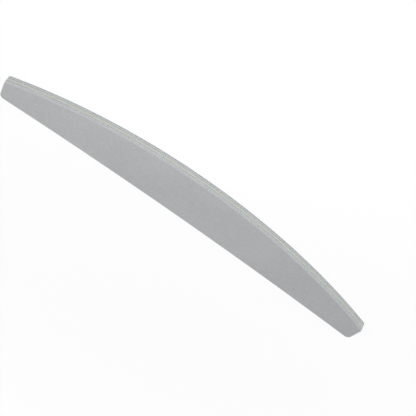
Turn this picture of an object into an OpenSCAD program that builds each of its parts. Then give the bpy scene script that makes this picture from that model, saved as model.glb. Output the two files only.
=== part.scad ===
// Half-moon emery board: a stiff core between two foam pads, faced on both sides with abrasive
// paper, and die-cut through the whole stack along one outline.
// It lies on its back face with its middle over the origin. X runs along the board, Y runs
// from the hollow side to the arc side, and Z runs up through the sheets.

/* [Outline] */
// Length over the two ends
board_l = 178; // [150:1:200]
// Width from the feet of the hollow side to the crown of the arc side
board_w = 28; // [26:0.5:34]
// Radius of the arc side
crown_r = 229; // [225:1:300]
// Rise of the hollow side at mid length
hollow_h = 2.3; // [1:0.1:3.5]
// Angle that each end leans out towards the arc side
end_splay = 6; // [1:0.5:9]
// Corner radius between an end and the arc side
arc_corner_r = 1.3; // [0.8:0.1:2.4]
// Corner radius between an end and the hollow side
hollow_corner_r = 2.2; // [0.8:0.1:3]

/* [Sheets] */
// Thickness of the grain coat on each face
grit_t = 0.12; // [0.06:0.01:0.3]
// Thickness of the paper that carries the grain
paper_t = 0.2; // [0.1:0.01:0.4]
// Thickness of each film of adhesive
glue_t = 0.08; // [0.03:0.01:0.15]
// Thickness of each foam pad
foam_t = 0.94; // [0.5:0.02:2]
// Thickness of the stiff core board
core_t = 1.28; // [0.8:0.02:2]

/* [Cut edge] */
// How far the grain coat stops short of the cut edge, where the die chipped it
grit_setback = 0.08; // [0.02:0.01:0.2]
// How far each film of adhesive stops short of the cut edge
glue_setback = 0.15; // [0.05:0.01:0.3]

/* [Hidden] */
// Sides of each circle, enough for the long flat arcs to look smooth
$fn = 720;

// Heights of the sheets of the front half, from the floor to each sheet's underside
board_t = 2 * (grit_t + paper_t + 2 * glue_t + foam_t) + core_t;
core_z = (board_t - core_t) / 2;
core_glue_z = core_z + core_t;
foam_z = core_glue_z + glue_t;
paper_glue_z = foam_z + foam_t;
paper_z = paper_glue_z + glue_t;
grit_z = paper_z + paper_t;

// Centre of the arc side's circle, below the board
crown_y = board_w - crown_r;
// Centre of an arc-side corner, where its circle touches the arc side and reaches board_l
arc_corner_x = board_l / 2 - arc_corner_r;
arc_corner_y = crown_y + sqrt(pow(crown_r - arc_corner_r, 2) - pow(arc_corner_x, 2));
// Direction from the board's arc towards that corner's end of the arc
crown_end_a = atan2(arc_corner_y - crown_y, arc_corner_x);
// Distance of an end's straight cut from the outline's own origin, square to the cut
end_reach = arc_corner_x * cos(end_splay) - arc_corner_y * sin(end_splay) + arc_corner_r;
// Centre of a hollow-side corner, which stands on the feet line and touches the end's cut
foot_y = hollow_corner_r;
foot_x = (end_reach - hollow_corner_r + foot_y * sin(end_splay)) / cos(end_splay);
// Radius of the hollow side, which touches both foot corners and rises to hollow_h
hollow_r = (pow(foot_x, 2) + pow(hollow_h, 2)) / (2 * hollow_h) - hollow_corner_r;
// Direction from a foot corner towards the hollow side's end
hollow_end_a = atan2(hollow_h - hollow_r - foot_y, -foot_x);

// How far a corner's circle stands out, so that it crosses the sides it rounds
corner_overlap = 0.004;
// How far a corner's cutting shape runs from its centre, along its sides and at its tip, in radii
waste_side = 2;
waste_tip = 3;
// Size of the shapes that cut away what lies beyond the ends
waste_l = 2 * crown_r;

// What lies beyond the straight cut at the right-hand end
module end_waste(setback) {
    rotate(-end_splay)
        translate([end_reach - setback, -waste_l / 2])
            square(waste_l);
}

// What lies outside a corner of radius r, between two directions seen from its centre
module corner_waste(r, from_a, to_a, setback) {
    mid_a = (from_a + to_a) / 2;
    difference() {
        polygon([
            [0, 0],
            waste_side * r * [cos(from_a), sin(from_a)],
            waste_tip * r * [cos(mid_a), sin(mid_a)],
            waste_side * r * [cos(to_a), sin(to_a)]
        ]);
        translate(corner_overlap * [cos(mid_a), sin(mid_a)])
            circle(r - setback);
    }
}

// The outline that the die cuts, with its feet on the X axis, drawn in all round by setback
module die_outline(setback) {
    difference() {
        translate([0, crown_y])
            circle(crown_r - setback);
        translate([0, hollow_h + setback])
            translate([0, -hollow_r])
                circle(hollow_r);
        for (side = [0, 1])
            mirror([side, 0]) {
                end_waste(setback);
                translate([arc_corner_x, arc_corner_y])
                    corner_waste(arc_corner_r, -end_splay, crown_end_a, setback);
                translate([foot_x, foot_y])
                    corner_waste(hollow_corner_r, hollow_end_a, -end_splay, setback);
            }
    }
}

// One sheet of thickness t whose underside is at height z
module cut_sheet(z, t, setback = 0) {
    translate([0, -board_w / 2, z])
        linear_extrude(t)
            die_outline(setback);
}

// The back half is the front half turned over about the middle of the core
module on_back() {
    translate([0, 0, board_t])
        mirror([0, 0, 1])
            children();
}

module grit_coat() {
    color([0.69, 0.70, 0.71])
        cut_sheet(grit_z, grit_t, grit_setback);
}

module backing_paper() {
    color([0.80, 0.81, 0.83])
        cut_sheet(paper_z, paper_t);
}

module paper_adhesive() {
    color([0.62, 0.64, 0.64])
        cut_sheet(paper_glue_z, glue_t, glue_setback);
}

module foam_pad() {
    color([0.84, 0.86, 0.89])
        cut_sheet(foam_z, foam_t);
}

module core_adhesive() {
    color([0.60, 0.63, 0.58])
        cut_sheet(core_glue_z, glue_t, glue_setback);
}

module core_board() {
    color([0.85, 0.88, 0.78])
        cut_sheet(core_z, core_t);
}

on_back() grit_coat();  // back_grit_coat
on_back() backing_paper();  // back_backing_paper
on_back() paper_adhesive();  // back_paper_adhesive
on_back() foam_pad();  // back_foam_pad
on_back() core_adhesive();  // back_core_adhesive
core_board();
core_adhesive();  // front_core_adhesive
foam_pad();  // front_foam_pad
paper_adhesive();  // front_paper_adhesive
backing_paper();  // front_backing_paper
grit_coat();  // front_grit_coat
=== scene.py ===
# %% [markdown]
# # A half-moon emery board
# The real object is a glued stack of eleven thin sheets that one die cuts out together: a stiff core
# in the middle, a foam pad on each side of it, and abrasive paper on both faces. The imported model
# already holds every sheet at its real place, so this script asks it where each sheet lies, and draws
# the sheet again with what a maker would see: grains, pores, die marks and a softened edge.
# The imported model is loaded first, and its box is kept: it gives the board's length and width.

# %% Load the frame
import math
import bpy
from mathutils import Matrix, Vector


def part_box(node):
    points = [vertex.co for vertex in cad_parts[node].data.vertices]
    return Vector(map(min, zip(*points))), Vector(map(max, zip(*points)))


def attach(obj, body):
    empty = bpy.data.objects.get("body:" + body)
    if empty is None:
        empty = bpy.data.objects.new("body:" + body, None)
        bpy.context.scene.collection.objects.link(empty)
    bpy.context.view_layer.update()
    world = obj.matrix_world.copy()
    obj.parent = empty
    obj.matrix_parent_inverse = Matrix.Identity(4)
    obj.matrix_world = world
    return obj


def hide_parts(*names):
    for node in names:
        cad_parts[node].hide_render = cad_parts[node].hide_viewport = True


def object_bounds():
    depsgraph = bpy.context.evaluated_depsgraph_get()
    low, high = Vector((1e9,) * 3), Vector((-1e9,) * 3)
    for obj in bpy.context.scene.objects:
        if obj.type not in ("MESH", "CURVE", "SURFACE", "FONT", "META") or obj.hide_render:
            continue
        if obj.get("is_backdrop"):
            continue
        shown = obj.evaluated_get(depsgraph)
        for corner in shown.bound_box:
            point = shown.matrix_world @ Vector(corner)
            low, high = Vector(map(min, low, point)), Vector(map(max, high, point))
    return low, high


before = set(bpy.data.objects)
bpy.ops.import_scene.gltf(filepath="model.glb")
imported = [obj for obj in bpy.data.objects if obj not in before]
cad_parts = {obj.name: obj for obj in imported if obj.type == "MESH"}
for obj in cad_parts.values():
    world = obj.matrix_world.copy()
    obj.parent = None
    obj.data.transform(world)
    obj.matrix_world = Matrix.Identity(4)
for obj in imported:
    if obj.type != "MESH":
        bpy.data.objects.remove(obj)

from types import SimpleNamespace

import bmesh
import bpy
import numpy as np
from mathutils import Euler, Vector
from mathutils.geometry import delaunay_2d_cdt

cad_low, cad_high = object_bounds()
print("sheets in the frame:", len(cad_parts))
print("size in mm:", [round(1000 * side, 2) for side in cad_high - cad_low])

# %% [markdown]
# ## The outline that the die cuts
# The long arc side and the slightly hollow side are both true arcs, the two ends are straight cuts
# that lean outwards, and four small arcs round the corners. Tracing a hundred points would give the
# same picture, but arcs stay smooth at any distance and say how the die was ground. The length and
# width come from the frame. The other sizes are the die's own.

# %% Sizes of the outline
MM = 0.001
BOARD_L = round(cad_high.x - cad_low.x, 4)
BOARD_W = round(cad_high.y - cad_low.y, 4)
CROWN_R = 229 * MM
HOLLOW_RISE = 2.3 * MM
END_SPLAY = math.radians(6)
ARC_CORNER_R = 1.3 * MM
FOOT_CORNER_R = 2.2 * MM
print("length and width in mm:", round(BOARD_L / MM, 1), round(BOARD_W / MM, 1))

# %% [markdown]
# Every arc and cut runs smoothly into the next one, so each centre follows from the sizes by
# tangency. Heights across the board are measured from the feet of the hollow side here, and moved to
# the frame's middle later.

# %% Centres of the arcs
crown_centre = np.array([0, BOARD_W - CROWN_R])
corner_x = BOARD_L / 2 - ARC_CORNER_R
corner_rise = math.sqrt((CROWN_R - ARC_CORNER_R) ** 2 - corner_x ** 2)
corner_centre = crown_centre + [corner_x, corner_rise]
crown_end = math.atan2(corner_rise, corner_x)

end_reach = corner_x * math.cos(END_SPLAY) - corner_centre[1] * math.sin(END_SPLAY) + ARC_CORNER_R
foot_lean = FOOT_CORNER_R * math.sin(END_SPLAY)
foot_x = (end_reach - FOOT_CORNER_R + foot_lean) / math.cos(END_SPLAY)
foot_centre = np.array([foot_x, FOOT_CORNER_R])

hollow_r = (foot_x ** 2 + HOLLOW_RISE ** 2) / (2 * HOLLOW_RISE) - FOOT_CORNER_R
hollow_centre = np.array([0, HOLLOW_RISE - hollow_r])
to_hollow = hollow_centre - foot_centre
hollow_turn = math.atan2(to_hollow[1], to_hollow[0])
print("radius of the hollow side in mm:", round(hollow_r / MM))

# %% [markdown]
# One half of the path is five stretches laid end to end, and the other half is its mirror image.
# Each point also keeps the direction that faces out of the board there, because a sheet that stops
# short of the cut is then just the same path moved back along those directions.

# %% The path round the board
def arc(centre, radius, start, stop, steps, facing=1):
    """Points along an arc without its last one, and the outward directions there."""
    turn = np.linspace(start, stop, steps + 1)[:-1]
    spokes = np.column_stack([np.cos(turn), np.sin(turn)])
    return centre + radius * spokes, facing * spokes


def straight(start, stop, steps, facing):
    """Points along a straight cut without its last one, and the outward directions there."""
    share = np.linspace(0, 1, steps + 1)[:-1, None]
    return start + share * (stop - start), np.tile(facing, (steps, 1))


def rim_path(step, corner_steps=12):
    """Points round the board, clockwise from the middle of the arc side, about a step apart."""
    side_steps = round(CROWN_R * (math.pi / 2 - crown_end) / step)
    cut_facing = np.array([math.cos(END_SPLAY), -math.sin(END_SPLAY)])
    cut_start = corner_centre + ARC_CORNER_R * cut_facing
    cut_stop = foot_centre + FOOT_CORNER_R * cut_facing
    cut_steps = round(np.linalg.norm(cut_stop - cut_start) / step)
    hollow_end = hollow_turn + math.pi
    stretches = [
        arc(crown_centre, CROWN_R, math.pi / 2, crown_end, side_steps),
        arc(corner_centre, ARC_CORNER_R, crown_end, -END_SPLAY, corner_steps),
        straight(cut_start, cut_stop, cut_steps, cut_facing),
        arc(foot_centre, FOOT_CORNER_R, -END_SPLAY, hollow_turn, corner_steps),
        arc(hollow_centre, hollow_r, hollow_end, math.pi / 2, side_steps, facing=-1),
    ]
    middle = np.array([[0, HOLLOW_RISE]]), np.array([[0, -1]])
    half, facing = (np.vstack(parts) for parts in zip(*stretches, middle))
    points = np.vstack([half, half[-2:0:-1] * [-1, 1]])
    outward = np.vstack([facing, facing[-2:0:-1] * [-1, 1]])
    points[:, 1] -= BOARD_W / 2
    end_steps = 2 * corner_steps + cut_steps
    return SimpleNamespace(points=points, outward=outward, side=side_steps, end=end_steps)


CUT_STEP = 0.16 * MM
FINE_STEP = 0.25 * MM
cut_path = rim_path(CUT_STEP)
fine_path = rim_path(FINE_STEP)
x, y = cut_path.points.T
face_area = abs(x @ np.roll(y, -1) - y @ np.roll(x, -1)) / 2
print("points round the cut edge:", len(cut_path.points))
print("area inside it in mm2:", round(face_area / MM ** 2))

# %% [markdown]
# The grains and the worn rim both need to know how far a place lies from the cut edge. That is the
# least of three distances, and in a rounded corner it is the distance to the corner's own arc.

# %% Distance from the cut edge
def depth_inside(x, y):
    """How far places on the face lie inside the cut edge, and below zero outside it."""
    place = np.column_stack([np.abs(x), y + BOARD_W / 2])
    from_crown = CROWN_R - np.linalg.norm(place - crown_centre, axis=1)
    from_hollow = np.linalg.norm(place - hollow_centre, axis=1) - hollow_r
    from_end = end_reach - place @ [math.cos(END_SPLAY), -math.sin(END_SPLAY)]
    depth = np.minimum(np.minimum(from_crown, from_hollow), from_end)
    corners = [
        (corner_centre, ARC_CORNER_R, -END_SPLAY, crown_end),
        (foot_centre, FOOT_CORNER_R, hollow_turn, -END_SPLAY),
    ]
    for centre, radius, start, stop in corners:
        spoke = place - centre
        turn = np.arctan2(spoke[:, 1], spoke[:, 0])
        rounded = (turn > start) & (turn < stop)
        depth = np.where(rounded, radius - np.linalg.norm(spoke, axis=1), depth)
    return depth


print("depth at the origin in mm:", depth_inside(np.zeros(1), np.zeros(1)) / MM)

# %% [markdown]
# ## A blank for each sheet
# A sheet starts as a closed blank: rows of points round the rim from its underside to its top, and a
# lid on each flat side. A row is a distance back from the cut and a height, so a few rows draw the
# shape of the edge. A lid could be one huge face, but rungs from the arc side to the hollow side keep
# its faces simple, and only the two ends need one wider face each.

# %% Faces of a blank
def rung_lid(path, first):
    """The faces of a flat lid over one row of points, whose numbers start at first."""
    count = len(path.points)
    hollow_middle = 2 * path.side + path.end
    rungs = []
    for step in range(-path.side, path.side):
        near, after = step % count, (step + 1) % count
        across = hollow_middle - step
        rungs.append([first + near, first + after, first + across - 1, first + across])
    right_start = path.side
    left_start = hollow_middle + path.side
    for start in (right_start, left_start):
        rungs.append([first + (start + step) % count for step in range(path.end + 1)])
    return rungs


def wall_faces(count, row_count):
    """The four-sided faces that join each row of points to the next."""
    here = np.arange(count)
    after = np.roll(here, -1)
    bands = []
    for row in range(row_count - 1):
        low, high = row * count, (row + 1) * count
        bands += np.column_stack([here + low, after + low, after + high, here + high]).tolist()
    return bands


print("faces between two rows of three points:", wall_faces(3, 2))


# %% [markdown]
# Blender can turn all faces of a closed mesh to point outwards, which saves thinking about the order
# of their corners above. An edge that doesn't have two faces would be a hole, so those are counted.

# %% Make a mesh of points and faces
def make_mesh(name, points, faces, attributes):
    """A mesh whose faces all point outwards, and whose points carry these numbers and directions."""
    mesh = bpy.data.meshes.new(name)
    mesh.from_pydata(points.tolist(), [], faces)
    for label, values in attributes.items():
        kind, field = ("FLOAT_VECTOR", "vector") if values.ndim == 2 else ("FLOAT", "value")
        layer = mesh.attributes.new(label, kind, "POINT")
        layer.data.foreach_set(field, values.astype(np.float32).ravel())
    shaped = bmesh.new()
    shaped.from_mesh(mesh)
    bmesh.ops.recalc_face_normals(shaped, faces=shaped.faces)
    shaped.to_mesh(mesh)
    volume = shaped.calc_volume(signed=True) / MM ** 3
    open_edges = sum(not edge.is_manifold for edge in shaped.edges)
    shaped.free()
    print(f"{name}: {len(faces)} faces, {volume:.0f} mm3, {open_edges} open edges")
    return mesh


# %% [markdown]
# Two attributes travel with the points of a blank: out, the direction out of the surface that relief
# sinks into, and loose, how freely relief may move a point.

# %% Close a sheet
LID_FREEDOM = 0.35


def rim_rows(path, rows):
    """Points of each row round the rim, from its setback and height."""
    return np.vstack([
        np.column_stack([path.points - setback * path.outward, np.full(len(path.points), height)])
        for setback, height in rows
    ])


def cut_blank(name, path, rows):
    """A sheet between two flat lids. Relief moves its wall freely, and the rows at its lids less."""
    count = len(path.points)
    points = rim_rows(path, rows)
    faces = rung_lid(path, 0) + wall_faces(count, len(rows)) + rung_lid(path, count * (len(rows) - 1))
    out = np.column_stack([path.outward, np.zeros(count)])
    loose = np.repeat([LID_FREEDOM] + [1] * (len(rows) - 2) + [LID_FREEDOM], count)
    return make_mesh(name, points, faces, {"out": np.tile(out, (len(rows), 1)), "loose": loose})


# %% [markdown]
# The frame says between which heights each sheet lies, so no thickness has to be written down here
# again. The back half of the stack is the front half turned over.

# %% Heights of the sheets
SIDES = ("back", "front")


def sheet_heights(node):
    """The underside and top of a sheet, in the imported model."""
    low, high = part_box(node)
    return round(low.z, 6), round(high.z, 6)


for node in sorted(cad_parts, key=sheet_heights):
    print(node, [round(height / MM, 3) for height in sheet_heights(node)])


# %% [markdown]
# ## Node trees, written as sums
# Both the relief and the finishes are node trees. Written out link by link they hide their meaning,
# so a small class wraps a socket and adds the Math node whenever it meets a plus, a minus or a times
# sign. One method adds any other node: its settings come first, because they decide which sockets the
# node has, and then the values or links of its sockets.

# %% A value that writes its own Math nodes
class Value:
    """A socket that can be used in a sum."""

    def __init__(self, wiring, socket):
        self.wiring = wiring
        self.socket = socket

    def math(self, operation, first, second):
        return self.wiring.node("ShaderNodeMath", {"operation": operation}, {0: first, 1: second})

    def __add__(self, other):
        return self.math("ADD", self, other)

    def __radd__(self, other):
        return self.math("ADD", other, self)

    def __sub__(self, other):
        return self.math("SUBTRACT", self, other)

    def __rsub__(self, other):
        return self.math("SUBTRACT", other, self)

    def __mul__(self, other):
        return self.math("MULTIPLY", self, other)

    def __rmul__(self, other):
        return self.math("MULTIPLY", other, self)

    def __pow__(self, other):
        return self.math("POWER", self, other)

    def above(self, level):
        return self.math("GREATER_THAN", self, level)

    def clipped(self):
        return self.wiring.node("ShaderNodeClamp", {}, {"Value": self})


class Wiring:
    """A node tree, with methods that add nodes and join them."""

    def __init__(self, tree):
        self.tree = tree

    def socket(self, sockets, key):
        if isinstance(key, int):
            return sockets[key]
        return next(found for found in sockets if found.name == key and not found.is_unavailable)

    def node(self, kind, settings, inputs, output=0):
        made = self.tree.nodes.new(kind)
        for name, setting in settings.items():
            setattr(made, name, setting)
        for key, value in inputs.items():
            self.join(value, self.socket(made.inputs, key))
        return Value(self, self.socket(made.outputs, output)) if made.outputs else None

    def join(self, value, socket):
        if isinstance(value, Value):
            self.tree.links.new(value.socket, socket)
        else:
            socket.default_value = value

    def vector_math(self, operation, first, second):
        """A Vector Math node. To scale a vector, the second value is a number."""
        settings = {"operation": operation}
        second_key = "Scale" if operation == "SCALE" else 1
        return self.node("ShaderNodeVectorMath", settings, {0: first, second_key: second})


# %% [markdown]
# A Geometry Nodes tree also has a front panel: its named inputs. A modifier keeps a value for each
# under the socket's identifier, so the helper looks those up before the object is first evaluated.
# Afterwards the evaluated object is turned into a plain mesh, and the modifier is thrown away with
# the object that carried it.

# %% Geometry trees and what they make
SHARP_ANGLE = math.radians(40)


class GeometryWiring(Wiring):
    """A Geometry Nodes tree with named inputs, which ends in one plain mesh with one finish."""

    def __init__(self, name, numbers):
        super().__init__(bpy.data.node_groups.new(name, "GeometryNodeTree"))
        face = self.tree.interface
        face.new_socket("Geometry", in_out="INPUT", socket_type="NodeSocketGeometry")
        for label in numbers:
            face.new_socket(label, in_out="INPUT", socket_type="NodeSocketFloat")
        face.new_socket("Seed", in_out="INPUT", socket_type="NodeSocketInt")
        face.new_socket("Finish", in_out="INPUT", socket_type="NodeSocketMaterial")
        face.new_socket("Geometry", in_out="OUTPUT", socket_type="NodeSocketGeometry")
        panel = self.tree.nodes.new("NodeGroupInput")
        self.given = {socket.name: Value(self, socket) for socket in panel.outputs if socket.name}

    def attribute(self, name, kind="FLOAT"):
        return self.node("GeometryNodeInputNamedAttribute", {"data_type": kind}, {"Name": name})

    def store(self, geometry, name, value):
        settings = {"data_type": "FLOAT", "domain": "POINT"}
        inputs = {"Geometry": geometry, "Name": name, "Value": value}
        return self.node("GeometryNodeStoreNamedAttribute", settings, inputs)

    def random(self, seed):
        """A number from 0 to 1 for each point."""
        inputs = {"Min": 0.0, "Max": 1.0, "Seed": seed}
        return self.node("FunctionNodeRandomValue", {"data_type": "FLOAT"}, inputs, "Value")

    def move(self, geometry, offset):
        return self.node("GeometryNodeSetPosition", {}, {"Geometry": geometry, "Offset": offset})

    def pits(self, size, share):
        """Round pits of about this size, from 0 to 1 deep, of which only a share is open."""
        place = self.node("GeometryNodeInputPosition", {}, {})
        inputs = {"Vector": self.vector_math("ADD", place, self.given["Seed"]), "Scale": size ** -1}
        from_middle = self.node("ShaderNodeTexVoronoi", {}, inputs, "Distance")
        lottery = self.node("ShaderNodeTexVoronoi", {}, inputs, "Color")
        drawn = self.node("ShaderNodeSeparateXYZ", {}, {"Vector": lottery}, "X")
        bowl = (1 - (2 * from_middle) ** 2).clipped()
        return bowl * (1 - drawn.above(share))

    def end_with(self, geometry):
        """The last nodes of the tree: instances made real, and the finish set."""
        real = self.node("GeometryNodeRealizeInstances", {}, {"Geometry": geometry})
        painted = {"Geometry": real, "Material": self.given["Finish"]}
        last = self.node("GeometryNodeSetMaterial", {}, painted)
        result = self.tree.nodes.new("NodeGroupOutput")
        self.tree.links.new(last.socket, result.inputs["Geometry"])


def formed(name, blank, wiring, values, smooth=True):
    """The plain mesh object that a tree makes from a blank."""
    carrier = bpy.data.objects.new(name + "_carrier", blank)
    bpy.context.scene.collection.objects.link(carrier)
    modifier = carrier.modifiers.new("relief", "NODES")
    modifier.node_group = wiring.tree
    for item in wiring.tree.interface.items_tree:
        if item.in_out == "INPUT" and item.name in values:
            modifier[item.identifier] = values[item.name]
    made = bpy.data.meshes.new_from_object(carrier.evaluated_get(bpy.context.evaluated_depsgraph_get()))
    bpy.data.objects.remove(carrier)
    bpy.data.meshes.remove(blank)
    made.name = name
    made.polygons.foreach_set("use_smooth", [smooth] * len(made.polygons))
    if smooth:
        made.set_sharp_from_angle(angle=SHARP_ANGLE)
    piece = bpy.data.objects.new(name, made)
    bpy.context.scene.collection.objects.link(piece)
    made.calc_loop_triangles()
    print(f"{name}: {len(made.loop_triangles)} triangles")
    return piece


# %% [markdown]
# ## Finishes
# A finish is a shader whose colour and roughness change over the surface. Colours are written as they
# look on a screen and turned into the linear values that a shader takes.

# %% Colours
def paint(red, green, blue):
    """A screen colour, from 0 to 255, as linear red, green, blue and alpha."""
    screen = np.array([red, green, blue]) / 255
    linear = np.where(screen <= 0.04045, screen / 12.92, ((screen + 0.055) / 1.055) ** 2.4)
    return [*linear.tolist(), 1.0]


print("a middle grey, as a shader takes it:", [round(part, 3) for part in paint(128, 128, 128)])


# %% [markdown]
# Every finish starts from the Principled shader, and all of them share a few patterns. A pattern sits
# on the object's own coordinates, and is given by the real size of the patch or cell that repeats.

# %% The wiring of a finish
class Finish(Wiring):
    """A material's node tree, with helpers for the patterns that the sheets share."""

    def __init__(self, name, gloss):
        self.material = bpy.data.materials.new(name)
        self.material.use_nodes = True
        super().__init__(self.material.node_tree)
        self.shader = self.tree.nodes["Principled BSDF"]
        self.shader.inputs["Specular IOR Level"].default_value = gloss
        self.place = self.node("ShaderNodeTexCoord", {}, {}, "Object")

    def attribute(self, name):
        return self.node("ShaderNodeAttribute", {"attribute_name": name}, {}, "Fac")

    def cloud(self, width, height=None, detail=2.0):
        """Soft noise from 0 to 1, in patches of this width and, where they are stretched, height."""
        scales = [1 / width, 1 / width, 1 / (height or width)]
        place = self.vector_math("MULTIPLY", self.place, scales)
        return self.node("ShaderNodeTexNoise", {}, {"Vector": place, "Scale": 1.0, "Detail": detail})

    def cells(self, size, output):
        """Small round cells. Each has its own Color, and a Distance from its middle."""
        return self.node("ShaderNodeTexVoronoi", {}, {"Vector": self.place, "Scale": 1 / size}, output)

    def chips(self, size):
        """A different number from 0 to 1 in each small cell."""
        return self.node("ShaderNodeSeparateColor", {}, {"Color": self.cells(size, "Color")}, "Red")

    def mix(self, share, first, second):
        inputs = {"Factor": share, "A": first, "B": second}
        return self.node("ShaderNodeMix", {"data_type": "RGBA"}, inputs, "Result")

    def apply(self, colour, roughness, height, depth):
        """Joins the colour, the roughness and a fine relief of this depth to the shader."""
        self.join(colour, self.shader.inputs["Base Color"])
        self.join(roughness, self.shader.inputs["Roughness"])
        bump = self.node("ShaderNodeBump", {}, {"Height": height, "Distance": depth}, "Normal")
        self.join(bump, self.shader.inputs["Normal"])
        return self.material


# %% [markdown]
# The working face is pale grey mineral in a grey resin. Its grains catch the light one by one, so each
# grain has its own tone, peaks are cleaner than the hollows between them, and the coat is a little
# uneven over its length. Near the rim the die has crushed it paler.

# %% Finish of the grain coat
def grit_finish():
    finish = Finish("grey_grit", gloss=0.3)
    drift = finish.cloud(22 * MM, detail=3.0)
    blotch = finish.cloud(2.6 * MM)
    speckle = 0.15 * finish.chips(0.24 * MM) + 0.45 * finish.chips(0.1 * MM)
    tone = 0.3 * drift + 0.15 * blotch + speckle + 0.2 * finish.attribute("peak") - 0.1
    face = finish.mix(tone.clipped(), paint(151, 153, 155), paint(193, 194, 196))
    crushed = finish.attribute("worn") * (0.7 + 0.6 * finish.cloud(0.7 * MM))
    colour = finish.mix(crushed.clipped(), face, paint(191, 193, 196))
    roughness = 0.78 + 0.18 * finish.chips(0.15 * MM)
    return finish.apply(colour, roughness, finish.cloud(0.07 * MM, detail=1.0), 0.02 * MM)


grit_material = grit_finish()
print("nodes of the grit finish:", len(grit_material.node_tree.nodes))

# %% [markdown]
# The foam is closed-cell and bluish white. Its burst pores are real hollows in the mesh, and the finish
# darkens them with painted shade, using the depth that the relief stored. Between them it draws the
# small closed cells, each with its own tone and a darker middle, which is painted shade in the dimple
# that the bump gives each cell. The core is a cream plastic with upright marks where the die's blade
# scraped down it. The paper shows its layers of fibre, and the adhesive is a dull, slightly shiny line
# that has picked up dust.

# %% Finishes of the cut edge
def foam_finish():
    finish = Finish("bluish_white_foam", gloss=0.25)
    cell = finish.cells(0.2 * MM, "Distance")
    # The darker middle of each cell is painted shade in the dimple that the bump gives it.
    tone = 0.35 * finish.cloud(3.3 * MM) + 0.35 * finish.chips(0.2 * MM) + 0.4 * cell
    skin = finish.mix(tone.clipped(), paint(176, 180, 183), paint(196, 199, 202))
    # Deeper pores are painted darker: painted shade in the hollows that the relief cut.
    colour = finish.mix((0.6 * finish.attribute("pore")).clipped(), skin, paint(152, 157, 161))
    return finish.apply(colour, 0.82 + 0.12 * finish.cloud(0.4 * MM), cell, 0.06 * MM)


def core_finish():
    finish = Finish("cream_core", gloss=0.45)
    scrape = finish.cloud(0.38 * MM, height=6.2 * MM, detail=4.0)
    tone = 0.45 * finish.cloud(7 * MM) + 0.55 * scrape
    colour = finish.mix(tone, paint(176, 181, 172), paint(193, 198, 189))
    return finish.apply(colour, 0.42 + 0.25 * scrape, scrape, 0.02 * MM)


def paper_finish():
    finish = Finish("paper_fibre", gloss=0.2)
    fibre = finish.cloud(0.55 * MM, height=0.042 * MM, detail=3.0)
    tone = 0.4 * finish.cloud(2 * MM) + 0.6 * fibre
    colour = finish.mix(tone, paint(179, 182, 185), paint(198, 201, 204))
    return finish.apply(colour, 0.86 + 0.1 * fibre, fibre, 0.015 * MM)


def glue_finish():
    finish = Finish("dull_adhesive", gloss=0.4)
    dust = finish.cloud(1.1 * MM, detail=3.0)
    colour = finish.mix(dust, paint(104, 107, 101), paint(132, 135, 128))
    return finish.apply(colour, 0.35 + 0.35 * dust, dust, 0.01 * MM)


foam_material = foam_finish()
core_material = core_finish()
paper_material = paper_finish()
glue_material = glue_finish()
cut_materials = [foam_material, core_material, paper_material, glue_material]
print("finishes of the cut edge:", [material.name for material in cut_materials])

# %% [markdown]
# ## Relief of the cut edge
# What a die leaves on an edge follows that edge all the way round: burst pores in foam, upright
# scrapes on plastic, loose layers in paper. One tree makes all of them. It cuts round pits where the
# cells of a Voronoi pattern lie near the surface, and takes a little more away by a stretched noise.
# It only ever goes inwards, so the sheet keeps the size that the frame gives it. The seed shifts both
# patterns, so that the front of the board isn't a copy of its back.

# %% The tree for the cut edge
def edge_tree():
    numbers = ["Pore size", "Pore depth", "Open pores", "Scrape width", "Scrape height", "Scrape depth"]
    wiring = GeometryWiring("cut_edge_relief", numbers)
    given = wiring.given
    pore = wiring.pits(given["Pore size"], given["Open pores"]) * wiring.attribute("loose")

    place = wiring.node("GeometryNodeInputPosition", {}, {})
    along = given["Scrape width"] ** -1
    upright = given["Scrape height"] ** -1
    scales = wiring.node("ShaderNodeCombineXYZ", {}, {"X": along, "Y": along, "Z": upright})
    streaked = wiring.vector_math("MULTIPLY", place, scales)
    settings = {"noise_dimensions": "4D"}
    inputs = {"Vector": streaked, "W": given["Seed"], "Scale": 1.0, "Detail": 3.0}
    scrape = wiring.node("ShaderNodeTexNoise", settings, inputs) * wiring.attribute("loose")

    cut = given["Pore depth"] * pore + given["Scrape depth"] * scrape
    inward = wiring.vector_math("SCALE", wiring.attribute("out", "FLOAT_VECTOR"), -1 * cut)
    moved = wiring.move(given["Geometry"], inward)
    # The pits' depth is kept as pore, which the foam finish uses to paint shade into its pores.
    wiring.end_with(wiring.store(moved, "pore", pore))
    return wiring


edge_wiring = edge_tree()
print("inputs of the edge tree:", list(edge_wiring.given))

# %% [markdown]
# The foam, the core and the paper have soft corners. Their rows lie close together in the corners and
# wider apart on the upright wall, so that points are spent where the shape turns.

# %% Rows of an edge
FOAM_CORNER = 0.13 * MM
CORE_CORNER = 0.12 * MM
PAPER_CORNER = 0.03 * MM


def edge_rows(node, corner, corner_rows, wall_bands):
    """Rows of a sheet's edge: a rounded lower corner, an upright wall and a rounded upper corner."""
    low, high = sheet_heights(node)
    turns = np.linspace(0, math.pi / 2, corner_rows)
    backs = corner * (1 - np.sin(turns))
    rises = corner * (1 - np.cos(turns))
    wall = np.linspace(low + corner, high - corner, wall_bands + 1)[1:-1]
    lower = [(back, low + rise) for back, rise in zip(backs, rises)]
    upper = [(back, high - rise) for back, rise in zip(backs, rises)]
    return lower + [(0.0, height) for height in wall] + upper[::-1]


for back, height in edge_rows("core_board", CORE_CORNER, corner_rows=4, wall_bands=5):
    print(f"row of the core: {back / MM:.3f} mm back from the cut, at {height / MM:.3f} mm")
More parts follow.
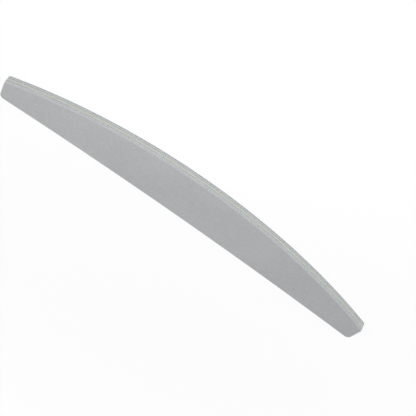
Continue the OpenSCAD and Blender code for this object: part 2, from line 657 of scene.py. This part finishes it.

# %% [markdown]
# ### The foam pads
# A steel rule die squeezes the foam before it cuts it, so the edge springs back with softened
# corners. Thirteen rows draw that edge. The pads are what gives under a finger.

# %% Form the foam pads
FOAM_SEED = 11
foam_values = {
    "Pore size": 0.42 * MM,
    "Pore depth": 0.09 * MM,
    "Open pores": 0.5,
    "Scrape width": 1.4 * MM,
    "Scrape height": 0.5 * MM,
    "Scrape depth": 0.05 * MM,
    "Finish": foam_material,
}
foam_pads = []
for seed, side in enumerate(SIDES, start=FOAM_SEED):
    node = side + "_foam_pad"
    rows = edge_rows(node, FOAM_CORNER, corner_rows=4, wall_bands=6)
    blank = cut_blank(node + "_blank", cut_path, rows)
    pad = formed(side + "_foam", blank, edge_wiring, {**foam_values, "Seed": seed})
    foam_pads.append((pad, node, "foam"))

# %% [markdown]
# ### The core board
# The core is stiff, so its edge stays square with only the sharpness gone, and the blade has drawn
# fine upright scrapes down it. It is solid plastic, so its pores have no depth.

# %% Form the core
CORE_SEED = 21
core_values = {
    "Pore size": 2.0 * MM,
    "Pore depth": 0.0,
    "Open pores": 0.0,
    "Scrape width": 0.45 * MM,
    "Scrape height": 6.0 * MM,
    "Scrape depth": 0.035 * MM,
    "Seed": CORE_SEED,
    "Finish": core_material,
}
rows = edge_rows("core_board", CORE_CORNER, corner_rows=4, wall_bands=5)
blank = cut_blank("core_blank", cut_path, rows)
core = formed("core", blank, edge_wiring, core_values)

# %% [markdown]
# ### The paper and the adhesive
# Paper tears rather than cuts for the last few fibres, so its edge wanders a little. The adhesive is
# the narrow dark line between two sheets. It was squeezed and has crept back from the cut by an
# uneven amount, which is why the line comes and goes along the edge.

# %% Form the paper and the adhesive
GLUE_SETBACK = 0.08 * MM
THIN_SEED = 31
paper_values = {
    "Pore size": 0.5 * MM,
    "Pore depth": 0.03 * MM,
    "Open pores": 0.25,
    "Scrape width": 0.7 * MM,
    "Scrape height": 0.08 * MM,
    "Scrape depth": 0.04 * MM,
    "Finish": paper_material,
}
glue_values = {
    "Pore size": 1.2 * MM,
    "Pore depth": 0.06 * MM,
    "Open pores": 0.4,
    "Scrape width": 2.5 * MM,
    "Scrape height": 1.0 * MM,
    "Scrape depth": 0.08 * MM,
    "Finish": glue_material,
}
thin_sheets = []
for seed, side in enumerate(SIDES, start=THIN_SEED):
    node = side + "_backing_paper"
    rows = edge_rows(node, PAPER_CORNER, corner_rows=2, wall_bands=3)
    blank = cut_blank(node + "_blank", fine_path, rows)
    paper = formed(side + "_paper", blank, edge_wiring, {**paper_values, "Seed": seed})
    thin_sheets.append((paper, node, "backing_paper"))
    for joint in ("paper", "core"):
        node = f"{side}_{joint}_adhesive"
        low, high = sheet_heights(node)
        rows = [(GLUE_SETBACK, low), (GLUE_SETBACK, (low + high) / 2), (GLUE_SETBACK, high)]
        blank = cut_blank(node + "_blank", fine_path, rows)
        glue = formed(f"{side}_{joint}_glue", blank, edge_wiring, {**glue_values, "Seed": seed})
        thin_sheets.append((glue, node, "adhesive_film"))

# %% [markdown]
# ## The grain coat
# The working face holds tens of thousands of mineral grains that stand in resin. Scattering separate
# stones over it would take millions of faces, and a flat face with a painted pattern would look like
# plastic. Here every point of the face is one grain: the points lie scattered about a quarter of a
# millimetre apart, a triangulation joins them into one closed skin, and a tree gives each its own
# height. The highest all but reach the face that the frame gives, and the rest lie below it.
# Near the rim the coat thins out and rolls over, because the die presses there and the first strokes
# wear it. Resin and grain are brittle, so small chips break out of the rim itself.

# %% Scatter the grains
GRAIN_STEP = 0.25 * MM
GRAIN_ROW = GRAIN_STEP * math.sqrt(3) / 2
GRAIN_SHIFT = 0.3 * GRAIN_STEP
ROLL_WIDTH = 0.7 * MM
ROLL_DROP = 0.095 * MM
GRIT_SETBACK = 0.08 * MM


def grain_sites(margin, seed):
    """Scattered places over the face that lie at least a margin from the cut edge."""
    draw = np.random.default_rng(seed)
    across = np.arange(-BOARD_L / 2, BOARD_L / 2, GRAIN_STEP)
    up = np.arange(-BOARD_W / 2, BOARD_W / 2, GRAIN_ROW)
    x, y = np.meshgrid(across, up)
    x[1::2] += GRAIN_STEP / 2
    sites = np.column_stack([x.ravel(), y.ravel()])
    sites += draw.uniform(-GRAIN_SHIFT, GRAIN_SHIFT, sites.shape)
    return sites[depth_inside(*sites.T) > margin]


def roll_drop(depth):
    """How far the face has rolled down at this distance from the cut edge."""
    share = np.clip((depth - GRIT_SETBACK) / ROLL_WIDTH, 0, 1)
    return ROLL_DROP * (1 - share) ** 2


print("grains in a square millimetre:", round(MM ** 2 / (GRAIN_STEP * GRAIN_ROW)))

# %% [markdown]
# The skin's outer rows follow the rim like any other sheet, closer together where the roll is steep,
# and its lid is the triangulation. That works in millimetres, keeps only the triangles inside the
# ring, and gives back its own list of points, so each is looked up among the coat's points before the
# triangles are used.
# Relief of the grains leaves the coat's foot and lip alone and grows to its full depth a little way
# in. Two more attributes are stored: into_rim, the way that a chip eats into the rim, which fades out
# over the roll, and worn, for the finish. The back coat is built the same way, turned over.

# %% Build the coat's blank
ROLL_ROWS = np.array([0.0, 0.04, 0.1, 0.19, 0.31, 0.46, 0.62]) * MM
SITE_MARGIN = 0.6 * GRAIN_STEP
RELIEF_GROWS = 0.3 * MM
TRIANGLES_INSIDE = 1
SAME_POINT = 1e-4
print("drop of each row of the roll in mm:", (roll_drop(GRIT_SETBACK + ROLL_ROWS) / MM).round(3))


def grain_lid(ring, sites, first):
    """Triangles over a ring and the sites inside it. The ring's points are numbered from first."""
    flat = np.vstack([ring, sites]) / MM
    outline = list(range(len(ring)))
    skin = delaunay_2d_cdt(flat.tolist(), [], [outline], TRIANGLES_INSIDE, SAME_POINT)
    triangles, sources = np.array(skin[2]), skin[3]
    number = np.array([source[0] for source in sources]) + first
    return number[triangles].tolist()


def coat_attributes(points, row_count, up):
    """How relief may move a coat's points, and how worn they are. The rim's points come first."""
    from_lip = depth_inside(*points[:, :2].T) - GRIT_SETBACK
    roll = np.clip(1 - from_lip / ROLL_WIDTH, 0, 1)
    loose = np.clip(from_lip / RELIEF_GROWS, 0, 1)
    loose[:2 * len(fine_path.points)] = 0
    out = np.tile([0.0, 0.0, up], (len(points), 1))
    inward = np.tile(-fine_path.outward, (row_count, 1))
    into_rim = np.zeros((len(points), 3))
    into_rim[:len(inward), :2] = inward
    into_rim *= roll[:, None]
    return {"out": out, "into_rim": into_rim, "loose": loose, "worn": roll ** 2}


def coat_blank(side, node, seed):
    """A closed coat: a flat side against the paper, and a face made of scattered grains."""
    low, high = sheet_heights(node)
    rest, face, up = (low, high, 1) if side == "front" else (high, low, -1)
    setbacks = GRIT_SETBACK + ROLL_ROWS
    rows = [(GRIT_SETBACK, rest)] + [(back, face - up * roll_drop(back)) for back in setbacks]
    rim = rim_rows(fine_path, rows)
    count = len(fine_path.points)
    sites = grain_sites(setbacks[-1] + SITE_MARGIN, seed)
    heights = face - up * roll_drop(depth_inside(*sites.T))
    points = np.vstack([rim, np.column_stack([sites, heights])])
    lid = grain_lid(rim[-count:, :2], sites, first=len(rim) - count)
    faces = rung_lid(fine_path, 0) + wall_faces(count, len(rows)) + lid
    return make_mesh(node + "_blank", points, faces, coat_attributes(points, len(rows), up))


# %% [markdown]
# Most grains of a sieved lot are alike, and a few stand proud. Raising a random number to a power
# gives that spread. A slow noise adds the waves that the roller left in the resin. Chips are pits that
# eat sideways into the rim, and fade out before they reach the scattered grains.

# %% The tree for the grains
def grain_tree():
    numbers = ["Grain height", "Sieve", "Wave length", "Wave height", "Chip size", "Chip depth", "Chips"]
    wiring = GeometryWiring("grain_relief", numbers)
    given = wiring.given
    place = wiring.node("GeometryNodeInputPosition", {}, {})
    peak = wiring.random(given["Seed"]) ** given["Sieve"]
    inputs = {"Vector": place, "W": given["Seed"], "Scale": given["Wave length"] ** -1}
    wave = wiring.node("ShaderNodeTexNoise", {"noise_dimensions": "4D"}, inputs)
    sunk = (given["Grain height"] * (1 - peak) + given["Wave height"] * wave) * wiring.attribute("loose")
    down = wiring.vector_math("SCALE", wiring.attribute("out", "FLOAT_VECTOR"), -1 * sunk)
    chip = given["Chip depth"] * wiring.pits(given["Chip size"], given["Chips"])
    bite = wiring.vector_math("SCALE", wiring.attribute("into_rim", "FLOAT_VECTOR"), chip)
    moved = wiring.move(given["Geometry"], wiring.vector_math("ADD", down, bite))
    wiring.end_with(wiring.store(moved, "peak", peak))
    return wiring


grain_wiring = grain_tree()
print("inputs of the grain tree:", list(grain_wiring.given))

# %% [markdown]
# The grit is fine, so its grains stand 0.06 mm high at most. Their faces are shaded flat, not smooth,
# so that each catches the light by itself.

# %% Form the grain coats
GRAIN_SEED = 41
grain_values = {
    "Grain height": 0.06 * MM,
    "Sieve": 1.5,
    "Wave length": 2.2 * MM,
    "Wave height": 0.012 * MM,
    "Chip size": 0.9 * MM,
    "Chip depth": 0.14 * MM,
    "Chips": 0.55,
    "Finish": grit_material,
}
coats = []
for seed, side in enumerate(SIDES, start=GRAIN_SEED):
    node = side + "_grit_coat"
    blank = coat_blank(side, node, seed)
    coat = formed(side + "_grit", blank, grain_wiring, {**grain_values, "Seed": seed}, smooth=False)
    coats.append((coat, node, "grit_coat"))

# %% [markdown]
# ## Put the new sheets in place of the old
# Each sheet made here takes the place of one sheet of the imported model, which is hidden. The board
# has no moving parts, so everything rides on its one body.

# %% Hand the pieces over
for piece, node, slot in foam_pads + [(core, "core_board", "core")] + thin_sheets + coats:
    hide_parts(node)
    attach(piece, "root")
    print(piece.name, "stands for", node)

# %% [markdown]
# ## Floor and light
# A plain pale floor and a soft studio light show the edge without hard shadows. The floor has to look
# white to the camera without throwing extra light on the board, so most of what the camera sees of it
# is a glow that only camera, glossy and transmitted rays meet. The rest is an ordinary matt white,
# which keeps the board's shadow. Farther out the glow takes over altogether, so that no horizon shows
# in a low view.

# %% The finish of the floor
FLOOR_WHITE = 0.98
FLOOR_GLOW = 0.85
GLOW_STARTS = 0.06
GLOW_FULL = 0.3


def backdrop_ray(wiring):
    """1 for the rays that should see a white backdrop, and 0 for those that carry its light."""
    ray = {name: wiring.node("ShaderNodeLightPath", {}, {}, name) for name in
           ("Is Camera Ray", "Is Glossy Ray", "Is Transmission Ray")}
    return (ray["Is Camera Ray"] + ray["Is Glossy Ray"] + ray["Is Transmission Ray"]).clipped()


def floor_material():
    material = bpy.data.materials.new("white_floor")
    material.use_nodes = True
    wiring = Wiring(material.node_tree)
    wiring.tree.nodes.clear()
    matt = wiring.node("ShaderNodeBsdfDiffuse", {}, {"Color": (FLOOR_WHITE, FLOOR_WHITE, FLOOR_WHITE, 1)})
    glow = wiring.node("ShaderNodeEmission", {}, {"Color": (1, 1, 1, 1), "Strength": 1.0})
    place = wiring.node("ShaderNodeTexCoord", {}, {}, "Object")
    away = wiring.node("ShaderNodeVectorMath", {"operation": "LENGTH"}, {0: place}, "Value")
    far = ((away - GLOW_STARTS) * (1 / (GLOW_FULL - GLOW_STARTS))).clipped()
    share = (FLOOR_GLOW + (1 - FLOOR_GLOW) * far) * backdrop_ray(wiring)
    seen = wiring.node("ShaderNodeMixShader", {}, {0: share, 1: matt, 2: glow})
    wiring.node("ShaderNodeOutputMaterial", {}, {"Surface": seen})
    return material


white_floor = floor_material()
print("the glow takes over from", GLOW_STARTS, "to", GLOW_FULL, "m from the board's middle")

# %% [markdown]
# The floor is one plain square under the board. It is marked as stage, so that nothing takes it for a
# part of the board.

# %% Floor
FLOOR_HALF = 2.0
corners = [(-FLOOR_HALF, -FLOOR_HALF, 0), (FLOOR_HALF, -FLOOR_HALF, 0),
           (FLOOR_HALF, FLOOR_HALF, 0), (-FLOOR_HALF, FLOOR_HALF, 0)]
floor_mesh = bpy.data.meshes.new("floor")
floor_mesh.from_pydata(corners, [], [(0, 1, 2, 3)])
floor_mesh.materials.append(white_floor)
floor = bpy.data.objects.new("floor", floor_mesh)
bpy.context.scene.collection.objects.link(floor)
floor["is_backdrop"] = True
print("floor is", 2 * FLOOR_HALF, "m wide")

# %% [markdown]
# The surroundings light the board evenly from all sides, and look plain white behind it.

# %% Surroundings
WORLD_LIGHT = 0.57


def white_world(strength):
    """A world that lights the board at this strength and looks white behind it."""
    world = bpy.data.worlds.new("studio")
    world.use_nodes = True
    wiring = Wiring(world.node_tree)
    wiring.tree.nodes.clear()
    seen = strength + (1 - strength) * backdrop_ray(wiring)
    light = wiring.node("ShaderNodeBackground", {}, {"Color": (1, 1, 1, 1), "Strength": seen})
    wiring.node("ShaderNodeOutputWorld", {}, {"Surface": light})
    bpy.context.scene.world = world


white_world(WORLD_LIGHT)
print("strength of the surroundings:", WORLD_LIGHT)

# %% [markdown]
# The surroundings give more than half of the light, and two soft panels give the rest. The key light
# is a long panel above the arc side, so the cut edge there is as bright as the face and its layers can
# be read. It is near enough for the face to darken a little towards the hollow side. The second panel
# stands low at the right-hand end and lights the far part of the cut edge.

# %% Studio light
def soft_panel(name, place, length, depth, power):
    """A soft panel that looks at the board's middle."""
    panel = bpy.data.lights.new(name, "AREA")
    panel.shape = "RECTANGLE"
    panel.size = length
    panel.size_y = depth
    panel.energy = power
    lamp = bpy.data.objects.new(name, panel)
    lamp.location = place
    lamp.rotation_euler = (-Vector(place)).to_track_quat("-Z", "Y").to_euler()
    bpy.context.scene.collection.objects.link(lamp)


soft_panel("key_panel", place=(-0.08, 0.12, 0.22), length=0.26, depth=0.1, power=0.335)
soft_panel("end_panel", place=(0.35, 0.35, 0.12), length=0.2, depth=0.2, power=0.47)

# %% [markdown]
# ## Camera
# The camera's place, turn and lens were worked out by matching the board's outline to the picture: it
# looks down on the arc side from above, tilted so that the board runs down to the right.

# %% Camera
camera_data = bpy.data.cameras.new("camera")
camera_data.lens = 112.5
camera_data.sensor_width = 36
camera_data.clip_start = 0.01
camera_data.clip_end = 20
camera = bpy.data.objects.new("camera", camera_data)
camera.location = (-0.0516, 0.4143, 0.3239)
camera.rotation_euler = Euler([math.radians(turn) for turn in (-48.258, 23.311, 27.491)])
bpy.context.scene.collection.objects.link(camera)
bpy.context.scene.camera = camera
bpy.context.scene.view_settings.view_transform = "Standard"
print("camera is", round(camera.location.length, 3), "m from the board's middle")

# %% [markdown]
# ## The size of the pieces
# The finished pieces have to keep the size of the imported model. Their box is printed here, as the
# imported model's was at the start.

# %% Print the size
low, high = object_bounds()
print("visual size in mm:", [round(side / MM, 3) for side in high - low])
